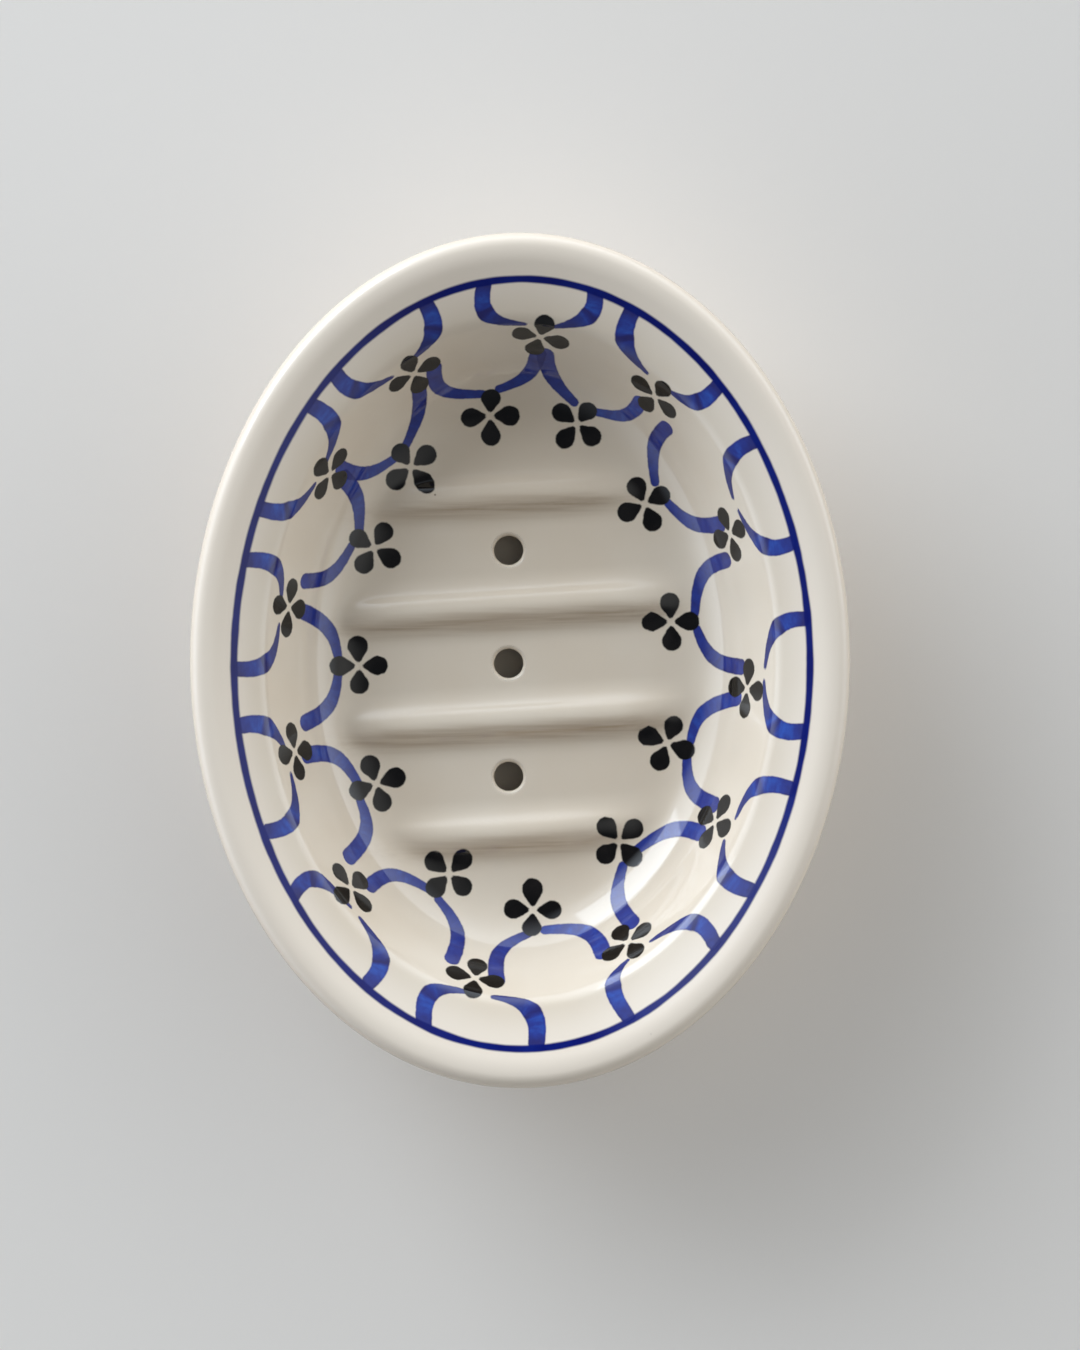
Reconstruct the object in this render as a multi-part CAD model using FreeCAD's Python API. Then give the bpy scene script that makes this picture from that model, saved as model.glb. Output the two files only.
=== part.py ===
"""Glazed stoneware soap dish in two pieces: an oval draining dish that sits in an oval drip base.

Millimetres. +Z is up, +Y runs along the oval, +X across it. The origin lies under the middle of the
oval, on the surface that the foot ring stands on.
"""
import FreeCAD, Part
import math
import os

from FreeCAD import Vector

# Outside of the rim, seen from above
dish_length = 140.0
dish_width = 108.0

# Heights, stacked from the table up
foot_height = 3.0
base_floor = 4.5
chamber_height = 4.4
dish_floor = 3.6
bowl_depth = 19.5

# Rim of the draining dish: a roll over the crest, a lip that slopes in from it, a round shoulder where the
# wall starts and a skirt down to the seat
rim_roll_radius = 2.3
lip_roll_radius = 5.2
lip_slope_deg = 26.0
lip_width = 8.5
shoulder_radius = 4.5
skirt_height = 7.5
skirt_edge_radius = 1.4

# Wall of the draining dish, from the shoulder to the bend into the floor
wall_slope_deg = 60.0
wall_thickness = 4.2
floor_bend_radius = 15.0
bowl_end_share = 1.22

# Ridges that hold the soap clear of the floor, and the rise of the floor between them over the bend
ridge_count = 4
ridge_pitch = 19.0
ridge_height = 2.4
ridge_crest_radius = 3.2
ridge_half_width = 6.0
ridge_turn_deg = 3.6
ridge_row_offset = -0.3
floor_rise = 0.6

# Drain holes, one midway between each two ridges
drain_hole_diameter = 4.9
drain_hole_offset = -2.0
drain_hole_bevel = 0.4

# Spigot under the dish, which keeps it from sliding off the base
spigot_depth = 2.4
spigot_clearance = 0.6

# Drip base: top edge, socket, floor and belly
base_inset = 4.5
base_edge_radius = 1.4
socket_edge_radius = 1.0
socket_depth = 4.0
base_floor_inset = 27.0
base_end_share = 1.15

# Foot ring of the base
foot_inset = 20.0
foot_taper = 0.5
foot_width = 4.2
foot_edge_radius = 0.8

# How far a cutting tool runs past what it cuts
overrun = 2.0

# Levels that follow from the stack
underside_z = foot_height
base_floor_z = underside_z + base_floor
dish_underside_z = base_floor_z + chamber_height
floor_z = dish_underside_z + dish_floor
crest_z = floor_z + bowl_depth
seat_z = crest_z - skirt_height
bowl_z = floor_z - floor_rise

lip_slope = math.radians(lip_slope_deg)
wall_slope = math.radians(wall_slope_deg)
ridge_turn = math.radians(ridge_turn_deg)

# How the inset at the ends of the oval follows the inset at its sides: (inset where it starts, share)
rim_spread = (0.0, 1.0)
bowl_spread = (rim_roll_radius, bowl_end_share)
base_spread = (base_inset, base_end_share)

# Angles of a profile: outwards from the middle of the oval, down and up
OUT = math.pi
DOWN = 3 * math.pi / 2
UP = math.pi / 2

# A circle as a curve of four quarters
CORNER_WEIGHT = math.sqrt(0.5)
RING_MULTIPLICITIES = [3, 2, 2, 2, 3]
RING_KNOTS = [0, 1, 2, 3, 4]


def point(inset, height):
    """A point of a wall's profile: its inset from the outside of the rim, across the oval, and its height."""
    return Vector(inset, 0, height)


def towards(angle, length):
    """A step within a profile. Angle 0 points to the middle of the oval."""
    return Vector(length * math.cos(angle), 0, length * math.sin(angle))


def line(start, end):
    return Part.LineSegment(start, end).toShape()


def arc(centre, radius, start_angle, end_angle):
    angles = (start_angle, (start_angle + end_angle) / 2, end_angle)
    return Part.Arc(*[centre + towards(angle, radius) for angle in angles]).toShape()


def quarter_oval(start, corner, end):
    """Quarter of an oval that leaves start and reaches end along the two sides of the corner."""
    curve = Part.BSplineCurve()
    curve.buildFromPolesMultsKnots([start, corner, end], [3, 3], [0, 1], False, 2, [1, CORNER_WEIGHT, 1])
    return curve.toShape()


def half_sizes(inset, spread):
    """Half width and half length of the oval that lies this far inside the rim."""
    start, share = spread
    return dish_width / 2 - inset, dish_length / 2 - start - (inset - start) * share


def ring_poles():
    """The nine control points and weights of a unit circle: the mid-sides and corners of its square."""
    poles = []
    for eighth in range(9):
        angle = eighth * math.pi / 4
        weight = 1 if eighth % 2 == 0 else CORNER_WEIGHT
        poles.append((math.cos(angle) / weight, math.sin(angle) / weight, weight))
    return poles


def oval_wire(place, spread):
    """The oval that one point of a profile traces."""
    half_width, half_length = half_sizes(place.x, spread)
    poles = [Vector(half_width * x, half_length * y, place.z) for x, y, _ in ring_poles()]
    weights = [weight for _, _, weight in ring_poles()]
    curve = Part.BSplineCurve()
    curve.buildFromPolesMultsKnots(poles, RING_MULTIPLICITIES, RING_KNOTS, False, 2, weights)
    return Part.Wire([curve.toShape()])


def oval_face(edge, spread):
    """The face that one edge of a profile sweeps when it is carried round the oval."""
    curve = edge.Curve.toBSpline(edge.FirstParameter, edge.LastParameter)
    poles = []
    weights = []
    for x, y, ring_weight in ring_poles():
        sizes = [half_sizes(pole.x, spread) for pole in curve.getPoles()]
        heights = [pole.z for pole in curve.getPoles()]
        poles.append([Vector(a * x, b * y, z) for (a, b), z in zip(sizes, heights)])
        weights.append([ring_weight * weight for weight in curve.getWeights()])
    surface = Part.BSplineSurface()
    surface.buildFromPolesMultsKnots(
        poles, RING_MULTIPLICITIES, curve.getMultiplicities(), RING_KNOTS, curve.getKnots(),
        False, False, 2, curve.Degree, weights)
    return surface.toShape()


def flat(*wires):
    return Part.makeFace(list(wires), "Part::FaceMakerBullseye")


def oval_body(*walls):
    """Closed solid inside walls that are carried round the oval, each a list of (spread, profile edges).

    A flat ring joins the end of each wall to the start of the next, which lies at the same height, and a
    flat oval closes the first wall's start and the last wall's end.
    """
    faces = []
    rims = []
    for wall in walls:
        first_spread, first_edges = wall[0]
        last_spread, last_edges = wall[-1]
        rims.append(oval_wire(first_edges[0].firstVertex().Point, first_spread))
        rims.append(oval_wire(last_edges[-1].lastVertex().Point, last_spread))
        faces += [oval_face(edge, spread) for spread, edges in wall for edge in edges]
    faces += [flat(rims[0]), flat(rims[-1])]
    faces += [flat(end, start) for end, start in zip(rims[1:-1:2], rims[2:-1:2])]
    shell = Part.makeShell(faces)
    shell.sewShape()
    body = Part.makeSolid(shell)
    if body.Volume < 0:
        body.reverse()
    return body


# Draining dish

lip_roll_centre = point(rim_roll_radius, crest_z - lip_roll_radius)
lip_start = lip_roll_centre + towards(UP - lip_slope, lip_roll_radius)
lip_end_x = rim_roll_radius + lip_width
lip_end = point(lip_end_x, lip_start.z - (lip_end_x - lip_start.x) * math.tan(lip_slope))
shoulder_centre = lip_end + towards(DOWN - lip_slope, shoulder_radius)
wall_start = shoulder_centre + towards(UP - wall_slope, shoulder_radius)
wall_end_z = bowl_z + floor_bend_radius * (1 - math.cos(wall_slope))
wall_end = point(wall_start.x + (wall_start.z - wall_end_z) / math.tan(wall_slope), wall_end_z)
bend_centre = wall_end + towards(UP - wall_slope, floor_bend_radius)

# The wall's outer side meets the spigot where the wall has its full thickness
wall_outside = wall_start + towards(DOWN - wall_slope, wall_thickness)
spigot_end_z = seat_z - spigot_depth
spigot_inset = wall_outside.x + (wall_outside.z - spigot_end_z) / math.tan(wall_slope)


def bowl_profile():
    """Inside of the bowl, from the edge of its floor to the crest of the rim."""
    return [
        arc(bend_centre, floor_bend_radius, DOWN, DOWN - wall_slope),
        line(wall_end, wall_start),
        arc(shoulder_centre, shoulder_radius, UP - wall_slope, UP - lip_slope),
        line(lip_end, lip_start),
        arc(lip_roll_centre, lip_roll_radius, UP - lip_slope, UP),
    ]


def rim_profile():
    """Outside of the rim, from its crest down the skirt to the seat."""
    roll_centre = point(rim_roll_radius, crest_z - rim_roll_radius)
    edge_centre = point(skirt_edge_radius, seat_z + skirt_edge_radius)
    return [
        arc(roll_centre, rim_roll_radius, UP, OUT),
        line(point(0, roll_centre.z), point(0, edge_centre.z)),
        arc(edge_centre, skirt_edge_radius, OUT, DOWN),
    ]


def underside_profile():
    """Spigot and underside of the dish, from the seat to the edge of the flat underside."""
    spigot_end = point(spigot_inset, spigot_end_z)
    bend_radius = bend_centre.z - dish_underside_z
    return [
        line(point(spigot_inset, seat_z), spigot_end),
        line(spigot_end, bend_centre + towards(DOWN - wall_slope, bend_radius)),
        arc(bend_centre, bend_radius, DOWN - wall_slope, DOWN),
    ]


def ridge_places():
    """Places of the ridges along the row, from the far end to the near one."""
    first = ridge_row_offset + ridge_pitch * (ridge_count - 1) / 2
    return [first - ridge_pitch * number for number in range(ridge_count)]


def ridge_section(place):
    """One ridge from its far foot to its near one: hollow flank, round crest, hollow flank."""
    steepness = 2 * math.atan(ridge_height / ridge_half_width)
    flank_radius = ridge_half_width / math.sin(steepness) - ridge_crest_radius

    def flank(side, turn):
        run = ridge_half_width - flank_radius * math.sin(turn)
        return Vector(0, place + side * run, floor_z + flank_radius * (1 - math.cos(turn)))

    far = [flank(1, turn) for turn in (0, steepness / 2, steepness)]
    near = [flank(-1, turn) for turn in (steepness, steepness / 2, 0)]
    crest = Vector(0, place, floor_z + ridge_height)
    return [Part.Arc(*far), Part.Arc(far[-1], crest, near[0]), Part.Arc(*near)]


def ridged_slab():
    """Everything below the ridged floor, as a slab that reaches past the dish on all sides."""
    reach = dish_length / 2 + overrun
    far_end = Vector(0, reach, floor_z)
    here = far_end
    edges = []
    for place in ridge_places():
        section = ridge_section(place)
        edges.append(Part.LineSegment(here, section[0].StartPoint))
        edges += section
        here = section[-1].EndPoint
    corners = [
        here,
        Vector(0, -reach, floor_z),
        Vector(0, -reach, dish_underside_z),
        Vector(0, reach, dish_underside_z),
        far_end,
    ]
    edges += [Part.LineSegment(start, end) for start, end in zip(corners, corners[1:])]
    section = Part.Face(Part.Wire([edge.toShape() for edge in edges]))
    section.translate(Vector(-reach, 0, 0))
    slab = section.extrude(Vector(2 * reach, 0, 0))
    slab.rotate(Vector(0, 0, 0), Vector(0, 0, 1), ridge_turn_deg)
    return slab


def ridged_floor():
    """The ridged floor of the dish, whose border lies halfway through the dish's own floor and wall."""
    middle_radius = (floor_bend_radius + bend_centre.z - dish_underside_z) / 2
    border = oval_body([(bowl_spread, [arc(bend_centre, middle_radius, DOWN, DOWN - wall_slope)])])
    return border.common(ridged_slab())


def drain_holes():
    """Bevelled holes midway between neighbouring ridges, on a line along the oval."""
    radius = drain_hole_diameter / 2
    ridges = ridge_places()
    lean = drain_hole_offset * math.tan(ridge_turn)
    holes = []
    for far, near in zip(ridges, ridges[1:]):
        foot = Vector(drain_hole_offset, (far + near) / 2 + lean, dish_underside_z - overrun)
        mouth = Vector(foot.x, foot.y, floor_z - drain_hole_bevel)
        bevel = drain_hole_bevel + overrun
        holes.append(Part.makeCylinder(radius, dish_floor + 2 * overrun, foot))
        holes.append(Part.makeCone(radius, radius + bevel, bevel, mouth))
    return holes


def draining_dish():
    """The upper piece: bowl, rolled rim, spigot, ridged floor and drain holes."""
    dish = oval_body(
        [(bowl_spread, bowl_profile()), (rim_spread, rim_profile())],
        [(bowl_spread, underside_profile())],
    )
    return dish.fuse(ridged_floor()).cut(drain_holes()).removeSplitter()


# Drip base

def socket_profile():
    """Inside of the base: dished floor, upright socket wall and the socket's rounded mouth."""
    inset = spigot_inset - spigot_clearance
    wall_foot = point(inset, seat_z - socket_depth)
    mouth_centre = point(inset - socket_edge_radius, seat_z - socket_edge_radius)
    return [
        quarter_oval(point(base_floor_inset, base_floor_z), point(inset, base_floor_z), wall_foot),
        line(wall_foot, point(inset, mouth_centre.z)),
        arc(mouth_centre, socket_edge_radius, 0, UP),
    ]


def belly_profile():
    """Outside of the base, from its rounded top edge down the belly and over the foot ring."""
    edge_centre = point(base_inset + base_edge_radius, seat_z - base_edge_radius)
    belly_start = point(base_inset, edge_centre.z)
    belly_end = point(foot_inset, underside_z)
    drop = belly_start.z - belly_end.z
    turn = 2 * math.atan((belly_end.x - belly_start.x) / drop)
    belly_radius = drop / math.sin(turn)
    foot_centre = point(foot_inset + foot_taper + foot_edge_radius, foot_edge_radius)
    return [
        arc(edge_centre, base_edge_radius, UP, OUT),
        arc(belly_start + towards(0, belly_radius), belly_radius, OUT, OUT + turn),
        line(belly_end, point(foot_inset + foot_taper, foot_centre.z)),
        arc(foot_centre, foot_edge_radius, OUT, DOWN),
    ]


def foot_inside_profile():
    """Inner side of the foot ring, from the table up to the underside."""
    inset = foot_inset + foot_width
    edge_centre = point(inset - foot_edge_radius, foot_edge_radius)
    return [
        arc(edge_centre, foot_edge_radius, -UP, 0),
        line(point(inset, edge_centre.z), point(inset, underside_z)),
    ]


def drip_base():
    """The lower piece: socket, dished floor that catches the water, belly and foot ring."""
    return oval_body(
        [(bowl_spread, socket_profile())],
        [(base_spread, belly_profile())],
        [(base_spread, foot_inside_profile())],
    )


os.makedirs("parts", exist_ok=True)
for name, shape in (("draining_dish", draining_dish()), ("drip_base", drip_base())):
    print(name, "solids", len(shape.Solids), "valid", shape.isValid(), "volume", round(shape.Volume, 1))
    shape.exportStep(f"parts/{name}.step")
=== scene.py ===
# %% [markdown]
# The soap dish is an oval bowl of glazed stoneware with a ridged floor. It sits in a second bowl, which
# catches the water. The construction was made in CAD, so the lesson starts by loading it. Every size and
# place below is in metres, in the frame of that model, so nothing has to be fitted afterwards.

# %% Load the construction
import math

import bpy
import numpy as np
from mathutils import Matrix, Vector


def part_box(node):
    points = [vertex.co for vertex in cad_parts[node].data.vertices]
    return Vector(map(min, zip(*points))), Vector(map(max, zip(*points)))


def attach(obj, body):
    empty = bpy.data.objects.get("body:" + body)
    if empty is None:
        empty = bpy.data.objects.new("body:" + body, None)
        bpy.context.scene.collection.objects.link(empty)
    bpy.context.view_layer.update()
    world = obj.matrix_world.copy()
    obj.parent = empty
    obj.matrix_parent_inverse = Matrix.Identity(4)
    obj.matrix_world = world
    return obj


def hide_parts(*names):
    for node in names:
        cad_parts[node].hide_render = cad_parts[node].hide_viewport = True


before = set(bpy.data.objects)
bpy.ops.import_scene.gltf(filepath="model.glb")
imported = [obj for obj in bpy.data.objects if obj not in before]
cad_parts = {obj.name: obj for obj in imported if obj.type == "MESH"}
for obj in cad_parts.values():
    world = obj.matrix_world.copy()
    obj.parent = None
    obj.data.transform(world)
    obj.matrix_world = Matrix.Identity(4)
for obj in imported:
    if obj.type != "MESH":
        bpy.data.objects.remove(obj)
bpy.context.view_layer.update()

# %% [markdown]
# Both pieces are profiles carried round an oval. A point of a profile has an inset, which is how far it
# lies inside the outside of the rim across the oval, and a height. Towards the ends of the oval the insets
# grow by a share, because a potter's oval bowl slopes more gently there. One could model a quarter of the
# bowl and mirror it, but a profile as an array of points keeps every radius a plain number.

# %% Profiles and ovals
dish_low, dish_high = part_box("draining_dish")
base_low, base_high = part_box("drip_base")
HALF_WIDTH = round(dish_high.x, 4)
HALF_LENGTH = round(dish_high.y, 4)
OUT, DOWN, UP = math.pi, 1.5 * math.pi, 0.5 * math.pi


def arc(centre, radius, start, end, count):
    """Points on a circle: the centre plus the radius times the cosine and sine of evenly spaced angles.

    Angle 0 points to the middle of the oval, and a quarter turn points up.
    """
    angle = np.linspace(start, end, count + 1)
    return np.column_stack([centre[0] + radius * np.cos(angle), centre[1] + radius * np.sin(angle)])


def straight(start, end, count):
    """Points on a line: the start and the end, each times its share."""
    share = np.linspace(0, 1, count + 1)[:, None]
    return (1 - share) * np.array(start) + share * np.array(end)


def joined(*runs):
    """Runs of points end to end, each without its first point, which ends the run before it."""
    return np.concatenate([runs[0]] + [run[1:] for run in runs[1:]])


def half_sizes(inset, spread):
    """Half width and half length of the oval at an inset. Spread: where insets start, and their share."""
    start, share = spread
    return HALF_WIDTH - inset, HALF_LENGTH - start - (inset - start) * share


def carried(profile, spread, angle):
    """A profile carried round the oval: a row for each point of the profile, a column for each angle.

    x is the half width times the cosine, y the half length times the sine, and z the profile's height.
    """
    half_width, half_length = half_sizes(profile[:, :1], spread)
    x = half_width * np.cos(angle)
    y = half_length * np.sin(angle)
    return np.stack([x, y, np.broadcast_to(profile[:, 1:], x.shape)], axis=-1)


print("rim", 2 * HALF_WIDTH, "by", 2 * HALF_LENGTH, "crest at", round(dish_high.z, 4))

# %% [markdown]
# The inside of the dish runs from the flat of its floor through a hollow bend, up a steep wall, over a
# round shoulder and along a sloping lip to the crest of the rim. Outside the crest come a tight roll, a
# short skirt, the seat that rests on the base, a spigot that keeps the dish in place, and the underside.

# %% Profile of the dish
ROLL_RADIUS = 0.0023
LIP_ROLL_RADIUS = 0.0052
LIP_SLOPE = math.radians(26)
LIP_WIDTH = 0.0085
SHOULDER_RADIUS = 0.0045
SKIRT_HEIGHT = 0.0075
SKIRT_EDGE = 0.0014
WALL_SLOPE = math.radians(60)
WALL_THICKNESS = 0.0042
BEND_RADIUS = 0.015
FLOOR_THICKNESS = 0.0036
FLOOR_RISE = 0.0006
SPIGOT_DEPTH = 0.0024
RIM_SPREAD = (0.0, 1.0)
BOWL_SPREAD = (ROLL_RADIUS, 1.22)

crest_z = dish_high.z
seat_z = crest_z - SKIRT_HEIGHT
underside_z = dish_low.z
floor_z = underside_z + FLOOR_THICKNESS
bowl_z = floor_z - FLOOR_RISE


def step(angle, length):
    """A step within a profile, at an angle that is measured as in arc."""
    return length * np.array([math.cos(angle), math.sin(angle)])


lip_roll_centre = np.array([ROLL_RADIUS, crest_z - LIP_ROLL_RADIUS])
lip_start = lip_roll_centre + step(UP - LIP_SLOPE, LIP_ROLL_RADIUS)
lip_run = ROLL_RADIUS + LIP_WIDTH - lip_start[0]
lip_end = lip_start + lip_run * np.array([1, -math.tan(LIP_SLOPE)])
shoulder_centre = lip_end + step(DOWN - LIP_SLOPE, SHOULDER_RADIUS)
wall_start = shoulder_centre + step(UP - WALL_SLOPE, SHOULDER_RADIUS)
wall_end_z = bowl_z + BEND_RADIUS * (1 - math.cos(WALL_SLOPE))
wall_end = np.array([wall_start[0] + (wall_start[1] - wall_end_z) / math.tan(WALL_SLOPE), wall_end_z])
bend_centre = wall_end + step(UP - WALL_SLOPE, BEND_RADIUS)
wall_outside = wall_start + step(DOWN - WALL_SLOPE, WALL_THICKNESS)
spigot_z = seat_z - SPIGOT_DEPTH
spigot_inset = wall_outside[0] + (wall_outside[1] - spigot_z) / math.tan(WALL_SLOPE)

inside_profile = joined(
    arc(bend_centre, BEND_RADIUS, DOWN, DOWN - WALL_SLOPE, 32),
    straight(wall_end, wall_start, 16),
    arc(shoulder_centre, SHOULDER_RADIUS, UP - WALL_SLOPE, UP - LIP_SLOPE, 10),
    straight(lip_end, lip_start, 10),
    arc(lip_roll_centre, LIP_ROLL_RADIUS, UP - LIP_SLOPE, UP, 6),
)
roll_centre = np.array([ROLL_RADIUS, crest_z - ROLL_RADIUS])
edge_centre = np.array([SKIRT_EDGE, seat_z + SKIRT_EDGE])
rim_profile = joined(
    arc(roll_centre, ROLL_RADIUS, UP, OUT, 12),
    straight((0, roll_centre[1]), (0, edge_centre[1]), 2),
    arc(edge_centre, SKIRT_EDGE, OUT, DOWN, 5),
)
under_radius = bend_centre[1] - underside_z
under_bend = arc(bend_centre, under_radius, DOWN - WALL_SLOPE, DOWN, 9)
under_profile = joined(
    straight((spigot_inset, seat_z), (spigot_inset, spigot_z), 3),
    straight((spigot_inset, spigot_z), under_bend[0], 4),
    under_bend,
)
print("flat floor starts at inset", round(bend_centre[0], 4), "spigot at", round(spigot_inset, 4))

# %% [markdown]
# Four low ridges cross the floor and hold the soap out of the water. Each has hollow flanks and a round
# crest, and sinks into the floor before it reaches the wall. The glaze fills the corners, so the floor and
# the bowl are joined by a smooth maximum, which is the higher of two heights with the corner filled.

# %% Ridged floor
RIDGE_PITCH = 0.019
RIDGE_COUNT = 4
RIDGE_ROW_OFFSET = -0.0003
RIDGE_HEIGHT = 0.0024
RIDGE_HALF_WIDTH = 0.006
RIDGE_CREST_RADIUS = 0.0032
RIDGE_TURN = math.radians(3.6)
RIDGE_FADE = (0.018, 0.036)
RIDGE_FADE_LEAN = 0.09
CORNER_FILL = 0.0012

ridge_steepness = 2 * math.atan(RIDGE_HEIGHT / RIDGE_HALF_WIDTH)
flank_radius = RIDGE_HALF_WIDTH / math.sin(ridge_steepness) - RIDGE_CREST_RADIUS
ridge_places = RIDGE_ROW_OFFSET + RIDGE_PITCH * ((RIDGE_COUNT - 1) / 2 - np.arange(RIDGE_COUNT))


def smooth_step(low, high, value):
    """0 below low and 1 above high, with the cubic 3 t t - 2 t t t between them."""
    share = np.clip((value - low) / (high - low), 0, 1)
    return share * share * (3 - 2 * share)


def inset_at(x, y):
    """Inset of the bowl's oval through a place, by halving: the oval is too small where the sum of the
    squares of x over its half width and y over its half length is more than 1."""
    low = np.zeros(np.shape(x))
    high = np.full(np.shape(x), HALF_WIDTH - ROLL_RADIUS)
    for _ in range(40):
        middle = (low + high) / 2
        half_width, half_length = half_sizes(middle, BOWL_SPREAD)
        outside = (x / half_width) ** 2 + (y / half_length) ** 2 > 1
        low, high = np.where(outside, low, middle), np.where(outside, middle, high)
    return (low + high) / 2


def ridge_relief(x, y):
    """Height of the nearest ridge above the floor.

    In the row of ridges, which is turned a little, the distance to the nearest crest gives either a point
    of the crest's circle or, further out, a point of the flank's hollow circle.
    """
    row = y * math.cos(RIDGE_TURN) - x * math.sin(RIDGE_TURN)
    away = np.abs(row[..., None] - ridge_places).min(axis=-1)
    to_foot = np.clip(RIDGE_HALF_WIDTH - away, 0, flank_radius * math.sin(ridge_steepness))
    flank = flank_radius - np.sqrt(flank_radius**2 - to_foot**2)
    on_crest = np.clip(away, 0, RIDGE_CREST_RADIUS)
    crest = RIDGE_HEIGHT - RIDGE_CREST_RADIUS + np.sqrt(RIDGE_CREST_RADIUS**2 - on_crest**2)
    return np.where(away < RIDGE_CREST_RADIUS * math.sin(ridge_steepness), crest, flank)


def ridge_fade(x, inset):
    """How much of a ridge is left at an inset: its ends sink into the floor, sooner on the right."""
    return smooth_step(*RIDGE_FADE, inset - RIDGE_FADE_LEAN * x)


def inside_height(x, y, inset, bowl_height):
    """Height of the dish's inside: the smooth maximum of the bowl and of the ridged floor."""
    ridged = floor_z + ridge_relief(x, y) * ridge_fade(x, inset)
    near = np.clip(CORNER_FILL - np.abs(ridged - bowl_height), 0, None) / CORNER_FILL
    return np.maximum(ridged, bowl_height) + near * near * CORNER_FILL / 4


print("ridge places", ridge_places.round(4), "flank radius", round(flank_radius, 4))

# %% [markdown]
# The floor has three drain holes, one between each two ridges. A Boolean could cut them, but it would leave
# ragged triangles in the glaze. Instead the flat of the floor is split along its two middle crests into
# three fields, and each field is a grid whose rows go from its hole's edge out to its border. The same grid
# goes on down through the hole and out along the underside, so the clay is closed.

# %% Columns and fields of the floor
HOLE_RADIUS = 0.00245
HOLE_OFFSET = -0.002
HOLE_EDGE = 0.0007
COLUMNS = 560
CREST_STEPS = 100

flat_width, flat_length = half_sizes(bend_centre[0], BOWL_SPREAD)
lean = math.atan2(flat_width * math.sin(RIDGE_TURN), flat_length * math.cos(RIDGE_TURN))
reach = math.hypot(flat_width * math.sin(RIDGE_TURN), flat_length * math.cos(RIDGE_TURN))
far_crest, near_crest = np.arcsin(ridge_places[1:3] / reach)
corner_angles = lean + np.array([near_crest, far_crest, OUT - far_crest, OUT - near_crest])
corner_angles = np.append(corner_angles, corner_angles[0] + 2 * math.pi)
arc_steps = np.round(np.diff(corner_angles) / (2 * math.pi) * COLUMNS).astype(int)
arc_starts = np.append(0, np.cumsum(arc_steps))
angles = np.concatenate([
    np.linspace(start, end, count, endpoint=False)
    for start, end, count in zip(corner_angles, corner_angles[1:], arc_steps)
])

flat_border = np.column_stack([flat_width * np.cos(angles), flat_length * np.sin(angles)])
right_side, far_side, left_side, near_side = [
    flat_border[np.arange(start, end + 1) % len(angles)] for start, end in zip(arc_starts, arc_starts[1:])
]
far_line = straight(right_side[-1], left_side[0], CREST_STEPS)
near_line = straight(left_side[-1], right_side[0], CREST_STEPS)
field_borders = [
    np.concatenate([far_side[:-1], far_line[::-1][:-1]]),
    np.concatenate([right_side[:-1], far_line[:-1], left_side[:-1], near_line[:-1]]),
    np.concatenate([near_side[:-1], near_line[::-1][:-1]]),
]
hole_row = (ridge_places[:-1] + ridge_places[1:]) / 2
hole_centres = np.column_stack([
    np.full(len(hole_row), HOLE_OFFSET), hole_row + HOLE_OFFSET * math.tan(RIDGE_TURN)])
print("columns", len(angles), "points round the fields", [len(border) for border in field_borders])

# %% [markdown]
# Now the grids of the dish: one for the wall, which runs over the rim to the underside, and one for each
# field of the floor. They meet in points that are worked out the same way, so they are welded by merging
# equal points, and each point also keeps its inset and whether it lies on the painted inside.

# %% Grids of the dish
FIELD_ROWS = 18
UNDER_ROWS = 4
EDGE_ROWS = 4
HOLE_ROWS = 3


def wall_grid():
    """The wall: the inside profile with the ridges' height, then the rim, the spigot and the underside."""
    inside = carried(inside_profile, BOWL_SPREAD, angles)
    inset = np.broadcast_to(inside_profile[:, :1], inside.shape[:2])
    inside[..., 2] = inside_height(inside[..., 0], inside[..., 1], inset, inside[..., 2])
    outside = carried(rim_profile[1:], RIM_SPREAD, angles)
    under = carried(under_profile, BOWL_SPREAD, angles)
    grid = np.concatenate([inside, outside, under])
    insets = np.concatenate([inset, np.zeros(outside.shape[:2]), np.zeros(under.shape[:2])])
    painted = np.zeros(grid.shape[:2], bool)
    painted[:len(inside)] = True
    return grid, insets, painted


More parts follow.
